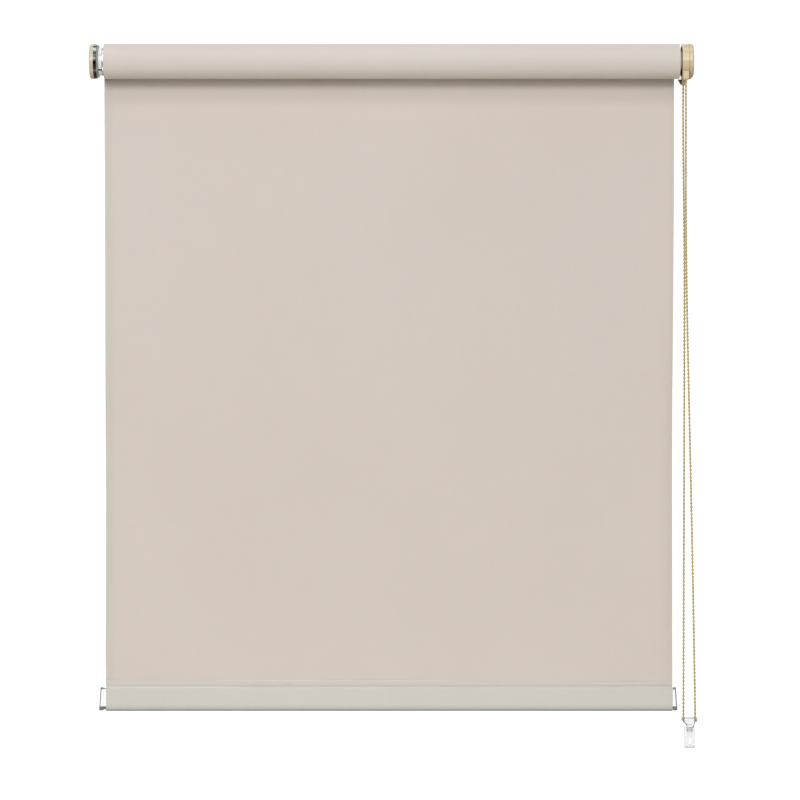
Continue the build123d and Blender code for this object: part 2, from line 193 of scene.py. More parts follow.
def cloth_material(name, light, dark, warm, weld=False):
    """Coated plain-weave blackout cloth. u and v of the map are metres along the cloth."""
    m, nt, b = material(name)
    uv = node(nt, "ShaderNodeUVMap", uv_map="cloth").outputs[0]
    sep = nt.nodes.new("ShaderNodeSeparateXYZ")
    nt.links.new(uv, sep.inputs[0])
    pitch = 0.00042
    su = math_node(nt, "SINE", math_node(nt, "MULTIPLY", sep.outputs[0], math.pi / pitch))
    sv = math_node(nt, "SINE", math_node(nt, "MULTIPLY", sep.outputs[1], math.pi / pitch))
    over = math_node(nt, "GREATER_THAN", math_node(nt, "MULTIPLY", su, sv), 0.0)
    au, av = math_node(nt, "ABSOLUTE", su), math_node(nt, "ABSOLUTE", sv)
    n = nt.nodes.new("ShaderNodeMix")
    n.data_type = "FLOAT"
    nt.links.new(over, n.inputs[0])
    nt.links.new(au, n.inputs[2])
    nt.links.new(av, n.inputs[3])
    weave = n.outputs[0]
    # slubs: threads a little thicker here and there, along both directions
    slub_u = noise(nt, scaled(nt, uv, (14.0, 900.0, 1.0)), 1.0, 2.0)
    slub_v = noise(nt, scaled(nt, uv, (900.0, 14.0, 1.0)), 1.0, 2.0)
    slub = math_node(nt, "ADD", slub_u, slub_v)
    cloud = noise(nt, scaled(nt, uv, (3.2, 2.4, 1.0)), 1.0, 3.0, 0.45)
    base = ramp(nt, cloud, [(0.25, dark), (0.75, light)])
    streak = ramp(nt, math_node(nt, "MULTIPLY", slub, 0.5), [(0.3, (0.955, 0.955, 0.955)), (0.7, (1.0, 1.0, 1.0))])
    tinted = mix_colour(nt, 1.0, base, streak, "MULTIPLY")
    pores = ramp(nt, weave, [(0.05, (0.90, 0.90, 0.90)), (0.55, (1.0, 1.0, 1.0))])
    tinted = mix_colour(nt, 0.55, tinted, mix_colour(nt, 1.0, tinted, pores, "MULTIPLY"))
    tinted = mix_colour(nt, 0.18, tinted, warm)
    if weld:
        # painted light: the weld band is made paler to lift the shade of its groove, more so towards the left
        z = nt.nodes.new("ShaderNodeSeparateXYZ")
        nt.links.new(node(nt, "ShaderNodeTexCoord").outputs["Object"], z.inputs[0])
        wander = math_node(nt, "MULTIPLY", math_node(nt, "SUBTRACT", noise(nt, scaled(nt, uv, (9.0, 0.0, 1.0)), 1.0, 2.0), 0.5), 0.0007)
        h = math_node(nt, "ADD", z.outputs[2], wander)
        weld_groove_painted_light = math_node(nt, "MULTIPLY", band(nt, h, -1.0138, -1.0146), band(nt, h, -1.0170, -1.0160))
        share = math_node(nt, "SUBTRACT", 0.38, math_node(nt, "MULTIPLY", band(nt, z.outputs[0], -0.32, -0.22), 0.18))
        tinted = mix_colour(nt, math_node(nt, "MULTIPLY", weld_groove_painted_light, share), tinted, (0.90, 0.86, 0.79))
        # the cut edge is paler: partly the bare core of the coated cloth, partly a painted highlight along the ridge
        # that the top lights catch
        cut_edge_core_and_painted_highlight = math_node(nt, "MULTIPLY", band(nt, h, HEM_TOP - 0.0011, HEM_TOP - 0.0004), math_node(nt, "ADD", math_node(nt, "MULTIPLY", band(nt, z.outputs[0], -0.32, -0.22), 0.28), 0.02))
        tinted = mix_colour(nt, cut_edge_core_and_painted_highlight, tinted, (0.88, 0.82, 0.74))
        # painted shade along the bottom of the pocket, where the cloth folds under the bar
        pocket_bottom_painted_shade = math_node(nt, "ADD", math_node(nt, "MULTIPLY", band(nt, z.outputs[2], -1.0430, -1.0500), 0.20), math_node(nt, "MULTIPLY", band(nt, z.outputs[2], -1.0495, -1.0530), 0.32))
        tinted = mix_colour(nt, pocket_bottom_painted_shade, tinted, (0.155, 0.15, 0.14))
    if name == "cloth_face":
        # painted shade: the cut side edge by the pin end is made a little greener and darker
        xx = nt.nodes.new("ShaderNodeSeparateXYZ")
        nt.links.new(node(nt, "ShaderNodeTexCoord").outputs["Object"], xx.inputs[0])
        painted_edge_shade = band(nt, xx.outputs[0], -0.4500, -0.4600)
        tinted = mix_colour(nt, math_node(nt, "MULTIPLY", painted_edge_shade, 1.0), tinted, mix_colour(nt, 1.0, tinted, (0.925, 0.985, 0.945), "MULTIPLY"))
    nt.links.new(tinted, b.inputs["Base Color"])
    nt.links.new(ramp(nt, slub_v, [(0.3, (0.80,) * 3), (0.7, (0.90,) * 3)]), b.inputs["Roughness"])
    b.inputs["Specular IOR Level"].default_value = 0.25
    b.inputs["Sheen Weight"].default_value = 0.12
    b.inputs["Sheen Roughness"].default_value = 0.5
    first = bump(nt, b, weave, 0.30, 0.00006)
    bump(nt, b, slub, 0.20, 0.00012, first)
    return m


def plastic_material(name, colour, shade, roughness=(0.28, 0.42), coat=0.0, scale=900.0, depth=0.000012):
    """Moulded plastic: faint flow marks, fine texture and a few dull patches."""
    m, nt, b = material(name)
    obj = node(nt, "ShaderNodeTexCoord").outputs["Object"]
    flow = noise(nt, scaled(nt, obj, (60.0, 25.0, 25.0)), 1.0, 3.0, 0.5, 0.6)
    nt.links.new(ramp(nt, flow, [(0.3, shade), (0.7, colour)]), b.inputs["Base Color"])
    dull = noise(nt, obj, 120.0, 4.0, 0.6)
    nt.links.new(ramp(nt, dull, [(0.35, (roughness[0],) * 3), (0.7, (roughness[1],) * 3)]), b.inputs["Roughness"])
    b.inputs["Specular IOR Level"].default_value = 0.5
    b.inputs["Coat Weight"].default_value = coat
    b.inputs["Coat Roughness"].default_value = 0.12
    bump(nt, b, noise(nt, obj, scale, 2.0), 0.25, depth)
    return m


def metal_material(name, colour, shade, roughness=(0.22, 0.38), grain=(900.0, 40.0, 900.0)):
    """Drawn or rolled metal with a grain along one direction."""
    m, nt, b = material(name)
    obj = node(nt, "ShaderNodeTexCoord").outputs["Object"]
    lines = noise(nt, scaled(nt, obj, grain), 1.0, 3.0, 0.6)
    blot = noise(nt, obj, 70.0, 4.0, 0.55)
    nt.links.new(ramp(nt, blot, [(0.3, shade), (0.72, colour)]), b.inputs["Base Color"])
    b.inputs["Metallic"].default_value = 1.0
    nt.links.new(ramp(nt, lines, [(0.3, (roughness[0],) * 3), (0.7, (roughness[1],) * 3)]), b.inputs["Roughness"])
    bump(nt, b, lines, 0.15, 0.00002)
    return m


def zinc_material():
    """Passivated zinc with painted reflections: a dark mirror-like base, and a lighter, teal painted highlight towards
    the top.
    """
    m, nt, b = material("zinc_passivated")
    obj = node(nt, "ShaderNodeTexCoord").outputs["Object"]
    sep = nt.nodes.new("ShaderNodeSeparateXYZ")
    nt.links.new(obj, sep.inputs[0])
    # painted highlight mask: the plate turns lighter and teal above about 12 mm over the axis
    high = math_node(nt, "MULTIPLY", math_node(nt, "SUBTRACT", sep.outputs[2], 0.0115), 200.0, clamp=True)
    spangle = node(nt, "ShaderNodeTexVoronoi")
    spangle.inputs["Scale"].default_value = 160.0
    nt.links.new(obj, spangle.inputs["Vector"])
    cells = math_node(nt, "MULTIPLY", spangle.outputs["Color"], 1.0)
    # painted reflection: the near-black base stands for a dark room mirrored in the plate
    dark_painted_reflection = ramp(nt, noise(nt, obj, 90.0, 3.0, 0.5, 0.8), [(0.30, (0.035, 0.037, 0.036)), (0.55, (0.065, 0.062, 0.055)), (0.80, (0.09, 0.10, 0.10))])
    top_painted_highlight = ramp(nt, noise(nt, obj, 140.0, 3.0, 0.5, 0.5), [(0.30, (0.16, 0.25, 0.24)), (0.70, (0.46, 0.55, 0.53))])
    both = mix_colour(nt, high, dark_painted_reflection, top_painted_highlight)
    nt.links.new(both, b.inputs["Base Color"])
    b.inputs["Metallic"].default_value = 1.0
    nt.links.new(ramp(nt, cells, [(0.2, (0.16,) * 3), (0.8, (0.27,) * 3)]), b.inputs["Roughness"])
    bump(nt, b, noise(nt, obj, 260.0, 3.0), 0.12, 0.00003)
    return m


def clear_material(name, painted_edge_mask, body=(0.90, 0.905, 0.90), painted_edge_shade=(0.42, 0.43, 0.42), roughness=0.10):
    """Clear moulded plastic with painted shade: a function of object x and z gives the share of a darker edge tint,
    standing for the grey edges light gives clear parts.
    """
    m, nt, b = material(name)
    obj = node(nt, "ShaderNodeTexCoord").outputs["Object"]
    sep = nt.nodes.new("ShaderNodeSeparateXYZ")
    nt.links.new(obj, sep.inputs[0])
    mask = painted_edge_mask(nt, sep.outputs[0], sep.outputs[2])
    faint = ramp(nt, noise(nt, obj, 300.0, 2.0), [(0.3, tuple(c * 0.965 for c in body)), (0.7, body)])
    nt.links.new(mix_colour(nt, mask, faint, painted_edge_shade), b.inputs["Base Color"])
    b.inputs["Roughness"].default_value = roughness
    b.inputs["IOR"].default_value = 1.30
    b.inputs["Transmission Weight"].default_value = 0.93
    bump(nt, b, noise(nt, obj, 350.0, 2.0), 0.1, 0.00002)
    return m


def maximum(nt, values):
    out = values[0]
    for v in values[1:]:
        out = math_node(nt, "MAXIMUM", out, v)
    return out


# painted shade: the sides, top and bottom of the clear end caps darkened by position
def cap_painted_edges(nt, x, z):
    off = math_node(nt, "ABSOLUTE", math_node(nt, "ADD", x, 0.0073))
    taper = math_node(nt, "MULTIPLY", math_node(nt, "SUBTRACT", z, -1.03515), 0.0684)
    out = math_node(nt, "ADD", off, taper)
    side = band(nt, out, 0.46840, 0.46900)
    side = math_node(nt, "MULTIPLY", side, math_node(nt, "ADD", math_node(nt, "MULTIPLY", band(nt, x, -0.1, 0.1), 0.16), 0.74))
    top = math_node(nt, "MULTIPLY", band(nt, z, -1.01830, -1.01780), 0.72)
    low = band(nt, z, -1.04720, -1.04780)
    return maximum(nt, [side, top, low])


# painted shade: the sides, foot, top, collar and tongue rungs of the clear joiner darkened by position
def joiner_painted_edges(nt, x, z):
    off = math_node(nt, "ABSOLUTE", math_node(nt, "SUBTRACT", x, 0.4876 + FX))
    side = math_node(nt, "MULTIPLY", band(nt, off, 0.0080, 0.0083), band(nt, z, -1.0765, -1.0775))
    low = band(nt, z, -1.1090, -1.1095)
    top = math_node(nt, "MULTIPLY", band(nt, z, -1.0638, -1.0634), band(nt, off, 0.0095, 0.0080))
    collar = math_node(nt, "MULTIPLY", band(nt, z, -1.0748, -1.0742), band(nt, z, -1.0722, -1.0728))
    collar = math_node(nt, "MULTIPLY", collar, band(nt, off, 0.0052, 0.0046))
    tongue = math_node(nt, "MULTIPLY", band(nt, off, 0.0044, 0.0038), math_node(nt, "MULTIPLY", band(nt, z, -1.0945, -1.0940), band(nt, z, -1.0790, -1.0796)))
    rungs = nt.nodes.new("ShaderNodeTexWave")
    rungs.wave_type, rungs.bands_direction, rungs.wave_profile = "BANDS", "Z", "SIN"
    rungs.inputs["Scale"].default_value = 62.0
    rungs.inputs["Distortion"].default_value = 0.6
    nt.links.new(node(nt, "ShaderNodeTexCoord").outputs["Object"], rungs.inputs["Vector"])
    tongue = math_node(nt, "MULTIPLY", tongue, math_node(nt, "MULTIPLY", rungs.outputs[1], 0.24))
    return maximum(nt, [math_node(nt, "MULTIPLY", side, 0.2), math_node(nt, "MULTIPLY", low, 0.8), math_node(nt, "MULTIPLY", top, 0.8), math_node(nt, "MULTIPLY", collar, 0.55), tongue])


FACE = cloth_material("cloth_face", (0.638, 0.566, 0.518), (0.613, 0.541, 0.493), (0.648, 0.571, 0.518))
REVERSE = cloth_material("cloth_reverse", (0.640, 0.590, 0.535), (0.615, 0.565, 0.510), (0.645, 0.590, 0.530))
HEM_REVERSE = cloth_material("hem_reverse", (0.608, 0.583, 0.540), (0.584, 0.559, 0.515), (0.612, 0.583, 0.535), weld=True)
CREAM = plastic_material("cream_plastic", (0.635, 0.515, 0.335), (0.595, 0.475, 0.30), (0.26, 0.38), 0.18)
IVORY = plastic_material("ivory_plastic", (0.585, 0.505, 0.39), (0.55, 0.47, 0.355), (0.26, 0.38), 0.18)
WHITE = plastic_material("white_plastic", (0.86, 0.85, 0.82), (0.82, 0.81, 0.78), (0.30, 0.42), 0.15)
GREY = plastic_material("grey_plastic", (0.36, 0.36, 0.33), (0.29, 0.29, 0.27), (0.35, 0.5))
BLACK = plastic_material("black_plastic", (0.022, 0.018, 0.014), (0.014, 0.011, 0.009), (0.4, 0.55))
PVC = plastic_material("pvc_strip", (0.70, 0.70, 0.67), (0.66, 0.66, 0.63), (0.35, 0.5))
BEADS = plastic_material("chain_plastic", (0.52, 0.395, 0.150), (0.48, 0.36, 0.130), (0.24, 0.36), 0.2)
STRING = plastic_material("chain_cord", (0.52, 0.41, 0.18), (0.45, 0.35, 0.145), (0.6, 0.8))
ZINC = zinc_material()
ALU = metal_material("aluminium_mill", (0.78, 0.78, 0.79), (0.70, 0.70, 0.71), (0.25, 0.42), (40.0, 900.0, 900.0))
STEEL = metal_material("steel_drawn", (0.42, 0.42, 0.43), (0.34, 0.34, 0.35), (0.2, 0.34), (40.0, 900.0, 900.0))
SPRING = metal_material("spring_wire", (0.30, 0.30, 0.31), (0.22, 0.22, 0.23), (0.2, 0.34), (900.0, 60.0, 60.0))
CAP_CLEAR = clear_material("cap_clear", cap_painted_edges, (0.965, 0.97, 0.965), (0.17, 0.175, 0.165))
JOINER_CLEAR = clear_material("joiner_clear", joiner_painted_edges, (0.862, 0.868, 0.862), (0.50, 0.51, 0.50), 0.14)



def guard_material():
    """Cream in front; the outlet behind is painted dark brown as shadow."""
    m, nt, b = material("guard_plastic")
    obj = node(nt, "ShaderNodeTexCoord").outputs["Object"]
    sep = nt.nodes.new("ShaderNodeSeparateXYZ")
    nt.links.new(obj, sep.inputs[0])
    # painted shadow mask: the outlet behind the axis and left of the front one
    back = math_node(nt, "MULTIPLY", band(nt, sep.outputs[1], AY - 0.004, AY + 0.004), band(nt, sep.outputs[0], 0.4745 + FX, 0.4725 + FX))
    flow = noise(nt, obj, 90.0, 3.0)
    cream = ramp(nt, flow, [(0.3, (0.60, 0.47, 0.29)), (0.7, (0.66, 0.53, 0.33))])
    brown = ramp(nt, flow, [(0.3, (0.075, 0.045, 0.022)), (0.7, (0.11, 0.07, 0.038))])
    nt.links.new(mix_colour(nt, back, cream, brown), b.inputs["Base Color"])
    nt.links.new(ramp(nt, noise(nt, obj, 120.0, 4.0), [(0.35, (0.3,) * 3), (0.7, (0.45,) * 3)]), b.inputs["Roughness"])
    bump(nt, b, noise(nt, obj, 900.0, 2.0), 0.25, 0.000012)
    return m


GUARD = guard_material()


def tinted_by_height(name, base, other, first, full, share, roughness, front_only=False, until=None):
    """Moulded plastic with painted shade: its colour changes to another between two heights on the part."""
    m = plastic_material(name, base, tuple(c * 0.95 for c in base), roughness, 0.15)
    nt = m.node_tree
    b = [n for n in nt.nodes if n.type == "BSDF_PRINCIPLED"][0]
    sep = nt.nodes.new("ShaderNodeSeparateXYZ")
    nt.links.new(node(nt, "ShaderNodeTexCoord").outputs["Object"], sep.inputs[0])
    mask = band(nt, sep.outputs[2], first, full)
    if until is not None:
        mask = math_node(nt, "MULTIPLY", mask, band(nt, sep.outputs[2], *until))
    if front_only:
        mask = math_node(nt, "MULTIPLY", mask, band(nt, sep.outputs[1], AY, AY - 0.002))
    old = b.inputs["Base Color"].links[0].from_socket
    nt.links.new(mix_colour(nt, math_node(nt, "MULTIPLY", mask, share), old, other), b.inputs["Base Color"])
    return m


# painted shade: the drive housing and its cover darken towards their undersides
DRUM = tinted_by_height("drum_plastic", (0.635, 0.515, 0.335), (0.20, 0.125, 0.055), -0.0060, -0.0175, 0.34, (0.26, 0.38))
# painted shade: a near-black band across the front of the plug, where its notch lies
PLUG = tinted_by_height("plug_plastic", (0.86, 0.85, 0.82), (0.03, 0.028, 0.025), -0.0132, -0.0139, 0.96, (0.30, 0.42), True, (-0.0164, -0.0157))


def crown_material():
    """Brown plastic with painted shade, darker towards its underside."""
    m, nt, b = material("crown_plastic")
    obj = node(nt, "ShaderNodeTexCoord").outputs["Object"]
    sep = nt.nodes.new("ShaderNodeSeparateXYZ")
    nt.links.new(obj, sep.inputs[0])
    low = band(nt, sep.outputs[2], -0.006, -0.020)
    flow = noise(nt, obj, 90.0, 3.0)
    upper = ramp(nt, flow, [(0.3, (0.66, 0.54, 0.37)), (0.7, (0.74, 0.61, 0.43))])
    under = ramp(nt, flow, [(0.3, (0.030, 0.018, 0.010)), (0.7, (0.040, 0.025, 0.014))])
    nt.links.new(mix_colour(nt, low, upper, under), b.inputs["Base Color"])
    nt.links.new(ramp(nt, noise(nt, obj, 120.0, 4.0), [(0.35, (0.35,) * 3), (0.7, (0.5,) * 3)]), b.inputs["Roughness"])
    bump(nt, b, noise(nt, obj, 900.0, 2.0), 0.25, 0.000012)
    return m


CROWN = crown_material()

NODE_MATERIAL = {
    "bracket_idle": ZINC, "bracket_drive": ZINC, "pin_bush": WHITE, "cover_idle": IVORY, "cover_drive": DRUM,
    "idle_core": WHITE, "core_clip": SPRING, "clutch_post": STEEL, "post_clip": SPRING, "clutch_housing": DRUM,
    "chain_guard": GUARD, "joiner_head": JOINER_CLEAR, "joiner_tab": JOINER_CLEAR, "roller_tube": ALU, "fabric_spline": PVC,
    "idle_plug": PLUG, "drive_crown": CROWN, "chain_wheel": WHITE, "chain_on_wheel": BEADS, "wrap_springs": SPRING,
    "idle_pin": STEEL, "thumbwheel": GREY, "bottom_bar": ALU, "bar_cap_left": CAP_CLEAR, "bar_cap_right": CAP_CLEAR,
    "fabric_sheet": FACE, "fabric_roll": REVERSE, "hem_pocket": REVERSE, "chain_front_strand": BEADS, "chain_back_strand": BEADS,
}
for name_, mat_ in NODE_MATERIAL.items():
    o_ = NODES[name_]
    if not o_.material_slots:
        o_.data.materials.append(mat_)
    for s_ in o_.material_slots:
        s_.material = mat_


# ------------------------------------------------------------------ mesh helpers
def mesh_object(name, verts, faces, mats, face_mats=None, uvs=None, smooth=True, sharp=None):
    me = bpy.data.meshes.new(name)
    me.from_pydata([tuple(map(float, v)) for v in verts], [], [tuple(int(i) for i in f) for f in faces])
    for m in mats:
        me.materials.append(m)
    if face_mats is not None:
        me.polygons.foreach_set("material_index", np.asarray(face_mats, np.int32))
    if uvs is not None:
        layer = me.uv_layers.new(name="cloth")
        loops = np.zeros(len(me.loops), np.int32)
        me.loops.foreach_get("vertex_index", loops)
        layer.data.foreach_set("uv", np.asarray(uvs, np.float32)[loops].ravel())
    me.polygons.foreach_set("use_smooth", np.full(len(me.polygons), smooth))
    if sharp is not None:
        me.set_sharp_from_angle(angle=math.radians(sharp))
    me.validate()
    me.update()
    o = bpy.data.objects.new(name, me)
    col.objects.link(o)
    return o


def thick_sheet(name, grid, u, v, thickness, mats, closed_v=False):
    """A closed sheet round a grid of mid-surface points [rows v][columns u]. The first material is on the side the grid's normal (du x dv) points to, the second on the other, and the cut edges take the first."""
    g = np.asarray(grid, float)
    nv, nu = g.shape[:2]
    du = np.gradient(g, axis=1)
    dv = np.gradient(g, axis=0)
    n = np.cross(du, dv)
    n /= np.maximum(np.linalg.norm(n, axis=2, keepdims=True), 1e-12)
    front = (g + n * thickness / 2).reshape(-1, 3)
    back = (g - n * thickness / 2).reshape(-1, 3)
    verts = np.vstack([front, back])
    uu, vv = np.meshgrid(u, v)
    flat = np.stack([uu.ravel(), vv.ravel()], 1)
    uvs = np.vstack([flat, flat])
    faces, fm = [], []
    off = nv * nu
    for j in range(nv - 1):
        for i in range(nu - 1):
            a, b, c, d = j * nu + i, j * nu + i + 1, (j + 1) * nu + i + 1, (j + 1) * nu + i
            faces.append((a, b, c, d)); fm.append(0)
            faces.append((off + a, off + d, off + c, off + b)); fm.append(1)
    for j in range(nv - 1):
        a, d = j * nu, (j + 1) * nu
        faces.append((a, d, off + d, off + a)); fm.append(0)
        a, d = j * nu + nu - 1, (j + 1) * nu + nu - 1
        faces.append((a, off + a, off + d, d)); fm.append(0)
    for i in range(nu - 1):
        a, b = i, i + 1
        faces.append((a, off + a, off + b, b)); fm.append(0)
        a, b = (nv - 1) * nu + i, (nv - 1) * nu + i + 1
        faces.append((a, b, off + b, off + a)); fm.append(0)
    return mesh_object(name, verts, faces, mats, fm, uvs, True, 40.0)


def waves(x, terms):
    return sum(a * np.sin(2 * np.pi * x / l + p) for a, l, p in terms)


# ------------------------------------------------------------------ chain: first of the pieces, with its route from the CAD
FRONT_ROUTE = [
    (477.0, -19.1, -14.5), (477.0, -18.7, -80.0), (477.6, -15.6, -240.0), (480.0, -12.4, -390.0),
    (484.3, -9.0, -550.0), (489.0, -5.8, -720.0), (493.4, -2.6, -900.0), (496.9, 0.0, -1068.0),
]
BACK_ROUTE = [
    (476.6, 19.1, -14.5), (475.3, 18.2, -55.0), (476.6, 15.9, -185.0), (478.6, 13.2, -330.0), (478.2, 8.6, -560.0),
    (477.9, 4.3, -820.0), (477.5, 0.0, -1068.0),
]


def nurbs_line(name, route):
    cu = bpy.data.curves.new(name + "_line", "CURVE")
    cu.dimensions = "3D"
    sp = cu.splines.new("NURBS")
    sp.points.add(len(route) - 1)
    for p, (x, y, z) in zip(sp.points, route):
        p.co = (x / 1000 + FX, y / 1000 + AY, z / 1000, 1.0)
    sp.order_u = 3
    sp.use_endpoint_u = True
    sp.resolution_u = 48
    o = bpy.data.objects.new(name + "_line", cu)
    col.objects.link(o)
    bpy.context.view_layer.update()
    me = bpy.data.meshes.new_from_object(o)
    pts = np.array([v.co for v in me.vertices], float)
    bpy.data.objects.remove(o)
    bpy.data.curves.remove(cu)
    bpy.data.meshes.remove(me)
    if pts[0, 2] < pts[-1, 2]:
        pts = pts[::-1]
    return pts


def along(pts, s):
    seg = np.linalg.norm(np.diff(pts, axis=0), axis=1)
    at = np.concatenate([[0], np.cumsum(seg)])
    return np.stack([np.interp(s, at, pts[:, k]) for k in range(3)], 1), at[-1]


def unit_bead(rings=8, sides=14):
    vs, fs = [(0, 0, 1)], []
    for r in range(1, rings):
        a = math.pi * r / rings
        for k in range(sides):
            b = 2 * math.pi * k / sides
            vs.append((math.sin(a) * math.cos(b), math.sin(a) * math.sin(b), math.cos(a)))
    vs.append((0, 0, -1))
    for k in range(sides):
        fs.append((0, 1 + k, 1 + (k + 1) % sides))
        fs.append((len(vs) - 1, len(vs) - 1 - sides + (k + 1) % sides, len(vs) - 1 - sides + k))
    for r in range(rings - 2):
        for k in range(sides):
            a, b = 1 + r * sides + k, 1 + r * sides + (k + 1) % sides
            fs.append((a, a + sides, b + sides, b))
    return np.array(vs), fs


def bead_chain(name, route, first):
    """Beads on a cord along the smooth line through the route."""
    pts = nurbs_line(name, route)
    total = along(pts, np.array([0.0]))[1]
    pitch, r = 0.0060, 0.00208
    centres, _ = along(pts, np.arange(first, total - 0.0008, pitch))
    bv, bf = unit_bead()
    verts, faces, fm = [], [], []
    for k, c in enumerate(centres):
        base = len(verts)
        # beads are moulded on the cord: a touch longer along it than across
        for v in bv:
            verts.append((c[0] + v[0] * r, c[1] + v[1] * r, c[2] + v[2] * r * 1.04))
        faces += [tuple(i + base for i in f) for f in bf]
        fm += [0] * len(bf)
    # cord between the beads
    s = np.arange(0, total, 0.003)
    line, _ = along(pts, np.append(s, total))
    sides, cr = 8, 0.00112
    t = np.gradient(line, axis=0)
    t /= np.linalg.norm(t, axis=1, keepdims=True)
    side = np.cross(t, [0.0, 1.0, 0.0])
    side /= np.linalg.norm(side, axis=1, keepdims=True)
    other = np.cross(t, side)
    base = len(verts)
    for k in range(len(line)):
        for j in range(sides):
            a = 2 * math.pi * j / sides
            verts.append(tuple(line[k] + cr * (math.cos(a) * side[k] + math.sin(a) * other[k])))
    for k in range(len(line) - 1):
        for j in range(sides):
            a, b = base + k * sides + j, base + k * sides + (j + 1) % sides
            faces.append((a, b, b + sides, a + sides))
            fm.append(1)
    faces.append(tuple(base + j for j in reversed(range(sides)))); fm.append(1)
    faces.append(tuple(base + (len(line) - 1) * sides + j for j in range(sides))); fm.append(1)
    o = mesh_object(name, verts, faces, [BEADS, STRING], fm)
    return o, line, float(total)

# ------------------------------------------------------------------ cord ends running down inside the joiner
def joiner_cords():
    runs = [
        [(477.9, -1067.6), (480.6, -1071.2), (484.1, -1075.6)],
        [(496.6, -1066.8), (495.2, -1072.6), (493.2, -1078.6)],
    ]
    verts, faces = [], []
    sides, r = 10, 0.0007
    for run in runs:
        pts = np.array([(x / 1000 + FX, AY, z / 1000) for x, z in run])
        base = len(verts)
        for k, c in enumerate(pts):
            d = pts[min(k + 1, len(pts) - 1)] - pts[max(k - 1, 0)]
            d /= np.linalg.norm(d)
            side = np.array([d[2], 0.0, -d[0]])
            for j in range(sides):
                a = 2 * math.pi * j / sides
                verts.append(tuple(c + r * (math.cos(a) * side + math.sin(a) * np.array([0.0, 1.0, 0.0]))))
        for k in range(len(pts) - 1):
            for j in range(sides):
                a, b = base + k * sides + j, base + k * sides + (j + 1) % sides
                faces.append((a, b, b + sides, a + sides))
        faces.append(tuple(base + j for j in reversed(range(sides))))
        faces.append(tuple(base + (len(pts) - 1) * sides + j for j in range(sides)))
    o = mesh_object("joiner_cords", verts, faces, [STRING])
    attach(o, "mounting")
    return o


joiner_cords()


CHAINS = []
for name_, route_, first_, exit_ in (
    ("chain_front", FRONT_ROUTE, 0.0030, (477.0, -19.1, -36.5)),
    ("chain_back", BACK_ROUTE, 0.0045, (477.0, 19.1, -36.5)),
):
    o_, line_, total_ = bead_chain(name_, route_, first_)
    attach(o_, "mounting")
    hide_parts(name_ + "_strand")
    CHAINS.append(o_)


# ------------------------------------------------------------------ hanging cloth, with the outermost turn on the roll
# how far each side edge strays outwards (+X) from a straight cut, by depth below the roll
EDGE_H = np.array([0.0, 0.055, 0.10, 0.22, 0.39, 0.55, 0.71, 0.87, 0.965, 1.02])
EDGE_L = np.array([0.0, -0.0004, -0.0004, -0.0001, -0.0003, -0.0002, 0.0003, -0.0004, -0.0011, -0.0004])
EDGE_R = np.array([0.0, 0.0003, 0.0003, 0.0004, -0.0001, -0.0012, -0.0011, -0.0004, -0.0001, 0.0])


def hanging_cloth():
    edge = np.array([0.0, 0.0006, 0.0015, 0.003, 0.005, 0.008, 0.012, 0.018, 0.026])
    inner = np.linspace(0.036, 2 * HALF - 0.036, 96)
    cols = np.concatenate([edge, inner, 2 * HALF - edge[::-1]])
    x = cols - HALF
    z_end = WELD_Z + 0.0010
    # lengths measured down from the tangent point; negative is round the roll
    hang = np.concatenate([np.linspace(0, 0.03, 7)[:-1], np.linspace(0.03, 0.95, 110)[:-1], np.linspace(0.95, -z_end, 26)])
    r_mid = ROLL_R - CLOTH / 2
    angles = np.linspace(math.radians(356), 0, 100)[:-1]   # turned back round the roll from the tangent point
    rows, vs = [], []
    for a in angles:
        r = r_mid - 0.00018 * a / (2 * math.pi)
        wob = 0.00004 * np.sin(6 * a + 3 * x / HALF)
        rr = r + wob
        k = float(smooth01(a / 1.3))            # the turn has crept towards the drive end
        xx = x + k * (0.00425 + 0.00275 * np.sign(x) * np.abs(x / HALF) ** 8 * 0.55)
        rows.append(np.stack([xx + FX, AY + rr * math.cos(a), rr * math.sin(a)], 1))
        vs.append(r_mid * a)
    for h in hang:
        t = h / (-z_end)
        # slow swells of well-hung cloth, nothing at the roll and little at the rail
        env = smooth01(h / 0.10) * (1 - 0.75 * smooth01((t - 0.72) / 0.28))
        y = env * (
            0.00075 * np.sin(2 * np.pi * (x / 0.47 + 0.10) + 0.9 * t)
            + 0.00045 * np.sin(2 * np.pi * (x / 0.21 + 0.35 + 0.15 * t))
            + 0.00020 * np.sin(2 * np.pi * (x / 0.083 + 0.6 * t))
        )
        y += 0.00025 * np.sin(2 * np.pi * (h / 0.31 + 0.2)) * env
        # it swells away from the roll, so that it clears the turns when it is drawn up
        y += 0.0013 * smooth01(h / 0.10) * (1 - smooth01((t - 0.86) / 0.14))
        # the cut edges roll back a little
        curl = smooth01(h / 0.20) * (1 - 0.6 * smooth01((t - 0.93) / 0.07))
        d = np.minimum(cols, 2 * HALF - cols)
        y += curl * 0.0011 * np.exp(-d / 0.0055)
        left = np.interp(h, EDGE_H, EDGE_L) * (1 - smooth01(cols / 0.16))
        right = np.interp(h, EDGE_H, EDGE_R) * (1 - smooth01((2 * HALF - cols) / 0.16))
        rows.append(np.stack([x + left + right + FX, SHEET_Y + y, np.full_like(x, -h)], 1))
        vs.append(-h)
    g = np.array(rows)
    # du x dv with rows running down is towards -Y for the hanging part
    return g, cols, np.array(vs)


grid, u_, v_ = hanging_cloth()
cloth = thick_sheet("hanging_cloth", grid, u_, v_, CLOTH * 0.9, [REVERSE, FACE])
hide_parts("fabric_sheet")
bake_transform(cloth)
co_ = np.array([v.co for v in cloth.data.vertices], float).reshape(-1, 3)
fall = np.clip(-co_[:, 2] / 1.004, 0, 1)
round_the_roll = (co_[:, 1] < SHEET_Y - 0.004) | (co_[:, 2] > 0)
n_wrap = 99
nu_ = len(u_)
wrap = np.zeros(len(co_), bool)
half_ = len(co_) // 2
for s_ in (0, half_):
    wrap[s_:s_ + n_wrap * nu_] = True
fall[wrap] = 0.0


